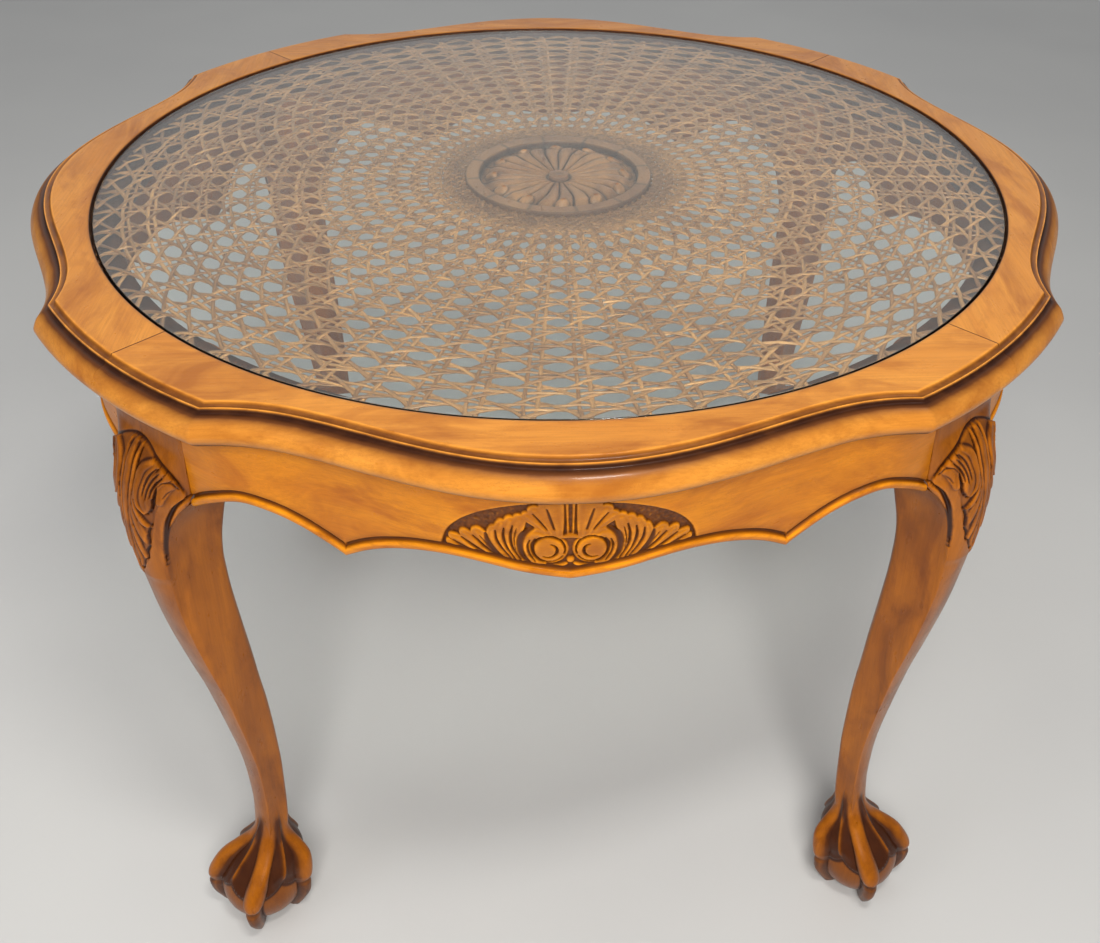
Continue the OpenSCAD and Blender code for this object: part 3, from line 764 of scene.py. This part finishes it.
def polar(outline, centre, angles):
    """Radius of a closed outline seen from a centre, at given angles."""
    d = outline - (centre, 0)
    a = np.arctan2(d[:, 1], d[:, 0])
    order = np.argsort(a)
    a, r = a[order], np.hypot(d[:, 0], d[:, 1])[order]
    a = np.concatenate([a[-1:] - 2 * np.pi, a, a[:1] + 2 * np.pi])
    r = np.concatenate([r[-1:], r, r[:1]])
    return np.interp(angles, a, r)


def claw_value(z, column):
    return float(smooth(z, CLAW[:, (0, column)]))


def apart(angles, direction):
    """Degrees between each angle and a direction."""
    return np.abs((np.degrees(angles) - direction + 180) % 360 - 180)


def foot_row(z, angles):
    """Ball, four claws and the webs between them at one height, seen from the hub.

    Gives the radius, the stain together with painted shadow, and how far each angle is on a claw or on a
    ridge of the web, which is painted lighter as a highlight.
    """
    reach, half, shift = (claw_value(z, k) for k in (1, 2, 3))
    ball = math.sqrt(max(BALL_R ** 2 - (z - BALL_R) ** 2, 0.0))
    seen = np.sqrt(np.maximum(ball ** 2 - (shift * np.sin(angles)) ** 2, 0.0)) + shift * np.cos(angles)
    seen = np.where(ball > shift, seen, 1.0)
    web = float(smooth(z, [(0, 2), (36, 20), (40, 31.2), (46, 30.6), (52, 28.8), (58, 25.6), (64, 21),
                           (70, 16.6), (78, 12.8), (90, 10.2), (104, 8.8), (112, 8.4)]))
    gap = np.min([apart(angles, g) for g in CLAW_ANGLES], axis=0)
    web_edge = 39.5 + 8 * (np.minimum(gap, 42) / 42) ** 2
    on_ball = 1 - ease(z, web_edge - 0.4, web_edge + 0.8)
    spread = ease(z, web_edge - 1, web_edge + 9)
    skin = (seen + 1.7) * (1 - spread) + (web - 0.05 * np.maximum(0, 34 - gap)) * spread
    base = np.where(on_ball < 1, np.maximum(seen, seen * on_ball + skin * (1 - on_ball)), seen)
    joint = math.exp(-((z - 35) / 2.4) ** 2)
    talon = ease(z, 37, 31)
    radius = base.copy()
    lit = np.zeros_like(angles)
    beside = np.zeros_like(angles)
    for g in CLAW_ANGLES:
        side = np.radians(apart(angles, g)) * max(reach - 4, 6)
        width = half * (1 - 0.12 * joint)
        form = clip01(1 - (side / width) ** 2) ** 0.5
        tip = reach * (1 - 0.06 * (abs(g) > 90)) - 1.8 * joint
        radius = np.maximum(radius, base - 2 + (tip - base + 2) * form)
        # Painted highlight on the top of each claw; the stain is kept off it.
        lit = np.maximum(lit, clip01(1.15 * form ** 1.4))
        beside = np.maximum(beside, bell(side - width * 1.02, 1.8))
    ridge_on = ease(z, 92, 78) * ease(z, web_edge + 1, web_edge + 6)
    for g in (0, 82, 180, 278):
        ridge = bell(np.radians(apart(angles, g)) * radius, 1.4) * ridge_on
        radius = radius + 2.4 * ridge
        # Painted highlight along each ridge of the web.
        lit = np.maximum(lit, 0.7 * ridge)
    # Painted shadow that the web's lower edge casts on the ball.
    edge_shadow = bell(z - web_edge + 1.3, 1.6)
    # Stain with painted shadow: darker webs, a lightly stained ball, darker beside each claw, at each knuckle
    # and talon and towards the floor, and the painted shadow under the web's edge.
    stain_and_shade = (1 - lit) * (0.8 * ease(z, 96, 76) * (1 - on_ball) + on_ball * 0.22)
    at_floor = np.full_like(angles, 0.5 * ease(z, 12, 3))
    stain_and_shade = np.max([stain_and_shade, beside * 0.9 * ease(z, 100, 84), (1 - lit) * edge_shadow,
                    lit * max(0.85 * joint, 0.62 * talon), at_floor], axis=0)
    return radius, clip01(stain_and_shade), lit


def leg_form(relief):
    """Points, faces and shades of a leg drawn on +X."""
    front = np.radians(np.linspace(-FACE_REACH, FACE_REACH, FACE_COLUMNS))
    rest = np.radians(np.linspace(FACE_REACH, 360 - FACE_REACH, REST_COLUMNS + 2)[1:-1])
    rest = (rest + np.pi) % (2 * np.pi) - np.pi
    angles = np.concatenate([front, rest])
    heights = np.concatenate([
        np.linspace(0, FOOT_TOP, 94), np.linspace(114, 372, 70), np.linspace(372.6, 474, 150),
        [480, 488, 496, RIM_BOTTOM - 0.9, RIM_BOTTOM - 0.1]])
    rows, dark, glow = [], [], []
    for z in heights:
        hub = FOOT_R - claw_value(min(z, FOOT_TOP), 3)
        centre = float(np.interp(z, [FOOT_TOP, 160, 330, 430, 502], [hub, 322, 345, 337, 333]))
        radius, shade, light = (np.zeros_like(angles) for _ in range(3))
        if z > CORE_END:
            core_z = max(z, LEG_START)
            core_centre = centre if z > LEG_START else FOOT_R - claw_value(LEG_START, 3)
            radius = polar(leg_section(core_z), core_centre, angles)
            # Painted highlight along the leg's corners below the knee.
            light = 0.5 * (bell(np.abs(np.degrees(angles)) - 47, 5) * ease(z, 400, 360))
        if z <= FOOT_TOP:
            foot, shade, light_foot = foot_row(z, angles)
            f = ease(z, FOOT_TOP, 94)
            radius = np.maximum(radius, foot)
            shade = shade * f
            # The foot's painted highlight, at a quarter strength.
            light = light * (1 - f) + 0.25 * light_foot * f
        if 370 < z < 482:
            y = radius * np.sin(angles)
            edge = float(leg_value(z, 2))
            on_face = ease(centre + radius * np.cos(angles), edge - 2.5, edge - 0.3)
            carved, stain_and_shade, crest_highlight_and_wear = (v * on_face for v in relief.at(y, np.full_like(y, z)))
            radius = radius + carved
            shade, light = np.maximum(shade, stain_and_shade), np.maximum(light, crest_highlight_and_wear)
        rows.append(around(radius, angles, z) + (centre, 0, 0))
        dark.append(shade)
        glow.append(light)
    points, quads, caps = loft(np.array(rows))
    return points, quads, caps, np.concatenate(dark), np.concatenate(glow)


def leg_pieces(relief, material):
    points, quads, caps, dark, glow = leg_form(relief)
    for seed, (corner, degrees) in enumerate(LEGS.items()):
        grain = np.stack([points[:, 2] + 600 * seed, points[:, 0] + 40 * seed, points[:, 1]], 1)
        piece = make_piece("carved_leg_" + corner, turned(points, degrees), quads, caps, material,
                           sharp=60, grain=grain, dark=dark, glow=glow)
        place(piece, "table", "leg_wood", "leg_" + corner)


# ---- rosette
PETALS = 12
ROSETTE_RING_R = 60.0


def rosette_piece(material):
    """A turned ring round fluted petals with curled tips and a small boss."""
    top, bottom = rosette_hi[2], rosette_lo[2]
    columns = 600
    angle = np.linspace(0, 2 * np.pi, columns, endpoint=False)
    inside = ROSETTE_RING_R
    radii = np.unique(np.concatenate([
        np.linspace(0.8, inside - 3, 120), np.linspace(inside - 3, inside + 1.4, 14),
        np.linspace(inside + 1.4, ROSETTE_R - 1.5, 6)]))
    r, a = radii[:, None], angle[None]
    bend = 0.16 * ease(r, 34, 58)
    phase = (a * PETALS / (2 * np.pi) + bend + 0.5) % 1 - 0.5
    side = np.abs(phase) * 2
    rise = ease(r, 7.5, 15) * (1 - 0.75 * ease(r, 46, 56))
    half_petal = np.abs(side - 0.5) * 2
    swell = (1 - half_petal ** 2.2) * rise
    middle = bell(side, 0.06) * ease(r, 9, 13) * (1 - ease(r, 43, 49))
    parting = bell(1 - side, 0.07) * ease(r, 9, 13) * (1 - 0.5 * ease(r, 50, 56))
    tip = np.hypot((r - 50.5) / 4.6, (phase - 0.17) / 0.2)
    curl = clip01(1 - tip ** 2) ** 0.5
    hollow = bell(tip - 1.1, 0.16)
    fringe = np.sin(phase * 60) * ease(r, 52, 55) * (1 - ease(r, 57, 58.5)) * 0.35
    dish = -4.4 + 2.2 * ease(r, 8, 40) * (1 - ease(r, 46, 56)) - 0.6 * ease(r, 50, 56)
    height = dish + 1.5 * swell - 1.0 * middle - 1.3 * parting + 2.2 * curl - 0.7 * hollow + fringe
    boss = -2.6 + 2.0 * np.sqrt(clip01(1 - (r / 8) ** 2)) - 0.7 * bell(r, 2.8)
    ring = ease(r, inside - 1.6, inside + 0.2)
    height = np.where(r < 7.7, boss, height) * (1 - ring)
    wall = bell(r - inside + 1.4, 1.3)
    moat = bell(r - 8.8, 1.1)
    tone = clip01(0.75 * middle + 0.95 * parting + 0.6 * wall + 0.85 * moat + 0.55 * hollow * (r < inside - 1)
                  + 0.3 * ease(r, 48, 54) * (1 - ring) * (1 - curl) + 0.4 * bell(r, 2.5))
    face = around(r, a, top + height)
    rim_r = [ROSETTE_R - 0.7, ROSETTE_R - 0.15, ROSETTE_R, ROSETTE_R, ROSETTE_R - 1.6, ROSETTE_R - 3, 30, 0.8]
    rim_z = [top - 0.1, top - 0.6, top - 1.4, bottom + 1.6, bottom + 0.2, bottom, bottom, bottom]
    rest = around(np.array(rim_r)[:, None], angle, np.array(rim_z)[:, None])
    points, quads, caps = loft(np.concatenate([face, rest]))
    dark = np.concatenate([tone.ravel(), np.full(rest.shape[0] * columns, 0.4)])
    # Painted highlight on the curled tips and the swell of the petals.
    lit = (0.7 * curl + 0.5 * swell) * (1 - ring)
    glow = np.concatenate([lit.ravel(), np.zeros(rest.shape[0] * columns)])
    grain = np.stack([points[:, 1], points[:, 0], points[:, 2]], 1)
    return make_piece("carved_rosette", points, quads, caps, material,
                      sharp=60, grain=grain, dark=dark, glow=glow)


# ---- cane
COLUMNS = 62
COLUMN_TURN = -1.1
CANE_END_R = OPEN_R - 1.6
FIRST_RING, RING_STEP = 106.7, 16.75
RINGS = 13
INNER_RINGS = (95.0, 87.0, 80.0, 73.6)
PAIR_ANGLE, PAIR_GAP = 0.75, 2.3
STRAND_W, STRAND_T = 2.9, 1.0
CANE_MID = 518.9
OVER, KNOT = 0.7, 0.5
rng = np.random.default_rng(7)


def ring_place(radius):
    """How many rings out a radius is. The rings stand closer near the rosette."""
    known = [(ROSETTE_R, -3.5), (75.5, -3), (83, -2), (93.5, -1), (FIRST_RING, 0),
             (FIRST_RING + RING_STEP * 13.6, 13.6)]
    xs, ys = np.array(known).T
    return np.interp(radius, xs, ys)


def pulse(x):
    """Odd wave: -1 just before 0 and +1 just after it, 0 far away."""
    return x * np.exp(0.5 - x * x / 2)


def wander(count, length, size):
    """Small smooth sideways drift of each strand."""
    knots = rng.normal(0, size, (count, max(length // 12, 4)))
    place_on = np.linspace(0, knots.shape[1] - 1, length)
    return np.stack([np.interp(place_on, np.arange(knots.shape[1]), row) for row in knots])


def strands(name, paths, widths, sides, closed, material):
    """Flat oval strands swept along paths (strand, point, xyz)."""
    if closed:
        ahead = np.roll(paths, -1, 1) - np.roll(paths, 1, 1)
    else:
        ahead = np.gradient(paths, axis=1)
    ahead /= np.linalg.norm(ahead, axis=2, keepdims=True)
    across = np.cross(ahead, (0, 0, 1))
    across /= np.linalg.norm(across, axis=2, keepdims=True)
    up = np.cross(across, ahead)
    g = np.linspace(0, 2 * np.pi, sides, endpoint=False) + np.pi / sides
    w = widths[:, None, None, None] / 2
    body = (paths[:, :, None] + across[:, :, None] * w * np.cos(g)[None, None, :, None]
            + up[:, :, None] * (STRAND_T / 2) * np.sin(g)[None, None, :, None])
    along = np.cumsum(np.linalg.norm(np.diff(paths, axis=1, prepend=paths[:, :1]), axis=2), axis=1)
    count, length = paths.shape[:2]
    all_points, all_quads, all_caps = [], [], []
    for s in range(count):
        points, quads, caps = loft(body[s], ring=closed)
        base = s * length * sides
        all_points.append(points)
        all_quads.append(quads + base)
        all_caps += [[i + base for i in c] for c in caps]
    own = rng.random(count)
    grain = np.stack([np.broadcast_to((along + 300 * own[:, None])[:, :, None], body.shape[:3]),
                      np.broadcast_to(np.cos(g) * STRAND_W / 2, body.shape[:3]) + own[:, None, None] * 50,
                      np.broadcast_to(np.sin(g) * STRAND_T / 2, body.shape[:3])], -1).reshape(-1, 3)
    radius = np.linalg.norm(body[..., :2], axis=-1)
    # Painted shade on the last few millimetres of each strand, by the rim's rebate wall; the strands are also
    # darker towards the rosette.
    dark = 0.5 * ease(radius, CANE_END_R - 4, CANE_END_R) + 0.55 * ease(radius, FIRST_RING, ROSETTE_R + 4)
    return make_piece(name, np.concatenate(all_points), np.concatenate(all_quads), all_caps, material,
                      sharp=0, grain=grain, strand=np.repeat(own, length * sides), dark=dark.ravel())


def column_angle(column, drift=0):
    """Angle of a column of holes, in radians, and of a strand that drifts some degrees from it."""
    return np.radians(COLUMN_TURN + column * 360 / COLUMNS + drift)


def strand_radii(length):
    """Radii along a strand that runs from the rosette to the edge of the glass."""
    run = np.linspace(ROSETTE_R - 0.6, CANE_END_R - 1.5, length - 2)
    return np.concatenate([run, [CANE_END_R - 0.3, CANE_END_R]])


def dive(radius):
    """How far a strand bends down at its outer end."""
    return ease(radius, CANE_END_R - 5, CANE_END_R) * 1.6


def radial_strands(material):
    length = 74
    radius = strand_radii(length)
    column = np.repeat(np.arange(COLUMNS), 2)
    sign = np.tile([-1.0, 1.0], COLUMNS)
    spread = 0.35 + 0.65 * ease(radius, ROSETTE_R, ROSETTE_R + 18)
    spread *= ease(radius, CANE_END_R + 1, CANE_END_R - 22)
    offset = sign[:, None] * PAIR_ANGLE * spread + np.degrees(wander(len(column), length, 0.28) / 200)
    z = np.full((len(column), length), CANE_MID)
    for k in range(RINGS):
        z = z - sign[:, None] * KNOT * pulse((radius - FIRST_RING - RING_STEP * k) / PAIR_GAP)[None]
    paths = around(radius, column_angle(column[:, None], offset), z - dive(radius))
    widths = STRAND_W * rng.uniform(0.86, 1.08, len(column))
    return strands("cane_radials", paths, widths, 8, False, material)


def ring_strands(material):
    length = COLUMNS * 7
    turn = np.linspace(0, COLUMNS, length, endpoint=False)
    bases = [(r, 1.7) for r in INNER_RINGS] + [(FIRST_RING + RING_STEP * k, PAIR_GAP) for k in range(RINGS)]
    radius, sign = [], []
    for base, gap in bases:
        for s in (-1.0, 1.0):
            radius.append(base + s * gap * (1 + 0.12 * np.cos(2 * np.pi * turn)))
            sign.append(s)
    radius, sign = np.array(radius), np.array(sign)
    drift = wander(len(radius), length, 0.3)
    drift *= np.sin(np.pi * np.arange(length) / length) ** 0.25
    near = (turn + 0.5) % 1 - 0.5
    z = CANE_MID + sign[:, None] * KNOT * pulse(near / (PAIR_ANGLE * COLUMNS / 360))[None]
    paths = around(radius + drift, column_angle(turn), z)
    widths = STRAND_W * rng.uniform(0.86, 1.05, len(radius))
    return strands("cane_rings", paths, widths, 6, True, material)


def diagonal_strands(name, direction, material):
    length = 100
    radius = strand_radii(length)
    k = ring_place(radius)
    column = np.arange(COLUMNS)[:, None] + 0.5 + direction * k[None]
    drift = np.degrees(wander(COLUMNS, length, 0.3) / 200)
    z = CANE_MID + direction * OVER * np.cos(2 * np.pi * k)
    paths = around(radius, column_angle(column, drift), z - dive(radius))
    widths = STRAND_W * rng.uniform(0.86, 1.1, COLUMNS)
    return strands(name, paths, widths, 8, False, material)


# ---- glass
GRIND = 1.2  # radius of the glass's ground edge


def glass_piece(material):
    """A round plate with a ground, rounded edge."""
    lo, hi = glass_lo[2], glass_hi[2]
    half = (hi - lo) / 2
    profile = [(3, lo), (160, lo), (GLASS_R - 6, lo)]
    for q in np.linspace(-np.pi / 2, np.pi / 2, 11):
        rise = math.copysign(half - GRIND + GRIND * abs(math.sin(q)), q) if abs(q) > 0.01 else 0
        profile.append((GLASS_R - GRIND + GRIND * math.cos(q), lo + half + rise))
    profile += [(GLASS_R - 6, hi), (160, hi), (3, hi)]
    radius, z = np.array(profile).T[..., None]
    points, quads, caps = loft(around(radius, np.linspace(0, 2 * np.pi, 360, endpoint=False), z))
    return make_piece("glass_plate", points, quads, caps, material, sharp=30)


# ---- hidden dowels
def dress_dowels(material):
    """The CAD dowels stay: they get the wood of the joints."""
    for node in ("rim_dowels", "apron_dowels", "top_dowels"):
        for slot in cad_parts[node].material_slots:
            slot.material = material


# ---- studio
def make_camera():
    """The photograph's viewing angle."""
    place_at = Vector((-0.01437, -0.88587, 0.92086))
    heading, pitch, roll = math.radians(-5.25), math.radians(32.97), math.radians(2.12)
    level_part = math.cos(pitch)
    ahead = Vector((-math.sin(heading) * level_part, math.cos(heading) * level_part, -math.sin(pitch)))
    level = ahead.cross(Vector((0, 0, 1))).normalized()
    upright = level.cross(ahead)
    right = math.cos(roll) * level + math.sin(roll) * upright
    up = -math.sin(roll) * level + math.cos(roll) * upright
    data = bpy.data.cameras.new("camera")
    data.lens, data.sensor_width = 41.52, 36
    data.shift_x, data.shift_y = -0.0817, -0.0888
    camera = new_object("camera", data)
    matrix = Matrix((right, up, -ahead)).transposed().to_4x4()
    matrix.translation = place_at
    camera.matrix_world = matrix
    bpy.context.scene.camera = camera


WARM, COOL = (1, 0.97, 0.93), (0.97, 0.98, 1)


def softbox(name, at, aim, size, watts, colour=(1, 1, 1), mirrored=True):
    """An area lamp. One that isn't mirrored lights things but makes no highlight in glass or lacquer."""
    data = bpy.data.lights.new(name, "AREA")
    data.shape = "RECTANGLE"
    data.size, data.size_y = size
    data.energy = watts
    data.color = colour
    light = new_object(name, data)
    light.visible_glossy = light.visible_transmission = mirrored
    light.location = at
    light.rotation_euler = (Vector(aim) - Vector(at)).to_track_quat("-Z", "Y").to_euler()


def make_studio():
    softbox("key", (0.05, -1.6, 1.5), (0, -0.1, 0.4), (0.8, 0.5), 34, WARM, mirrored=False)
    softbox("gleam", (0.25, -0.9, 2.1), (0, -0.1, 0.4), (0.4, 0.22), 13, WARM)
    softbox("wall", (0, 3.0, 1.9), (0, 0, 0.5), (5.0, 2.8), 18)
    softbox("overhead", (-0.4, -0.3, 2.6), (0, 0, 0.4), (1.6, 1.2), 10, mirrored=False)
    softbox("left", (-1.8, -1.2, 1.3), (0, 0, 0.35), (1.0, 1.0), 7, COOL, mirrored=False)
    world = bpy.data.worlds.new("studio")
    world.use_nodes = True
    sky = world.node_tree.nodes["Background"].inputs
    sky["Color"].default_value = (0.86, 0.88, 0.9, 1)
    sky["Strength"].default_value = 0.2
    bpy.context.scene.world = world
    bpy.context.scene.view_settings.view_transform = "Standard"
    mesh = bpy.data.meshes.new("floor")
    far = 40.0
    mesh.from_pydata([(-far, -far, 0), (far, -far, 0), (far, far, 0), (-far, far, 0)], [], [(0, 1, 2, 3)])
    mesh.materials.append(pale_floor("pale_floor"))
    floor = new_object("floor", mesh)


# ---- the table
def build_table():
    rim_wood = beech("rim_beech", srgb(210, 140, 54), srgb(184, 112, 36), srgb(46, 20, 7))
    apron_wood = beech("apron_beech", srgb(213, 132, 14), srgb(192, 107, 8), srgb(66, 31, 7))
    leg_wood = beech("leg_beech", srgb(166, 94, 10), srgb(130, 68, 6), srgb(46, 18, 6))
    rosette_wood = beech("rosette_beech", srgb(150, 106, 68), srgb(114, 75, 48), srgb(34, 21, 13))
    for seed, (side, degrees) in enumerate(SIDES.items()):
        rim = rim_side("moulded_rim_" + side, degrees, rim_wood, seed)
        place(rim, "table", "rim_wood", "rim_" + side)
    carving = carve_apron()
    for seed, (side, degrees) in enumerate(SIDES.items()):
        apron = apron_side("carved_apron_" + side, degrees, carving, apron_wood, seed)
        place(apron, "table", "apron_wood", "apron_" + side)
    leg_pieces(carve_knee(), leg_wood)
    place(rosette_piece(rosette_wood), "table", "rosette_wood", "rosette")
    cane = cane_skin("split_cane")
    for piece in (radial_strands(cane), ring_strands(cane), diagonal_strands("cane_diagonals_right", 1, cane),
                  diagonal_strands("cane_diagonals_left", -1, cane)):
        place(piece, "table", "cane", "cane_panel")
    place(glass_piece(clear_glass("float_glass")), "glass", "glass", "glass_top")
    dress_dowels(dowel_wood("dowel_beech"))


make_camera()
make_studio()
build_table()
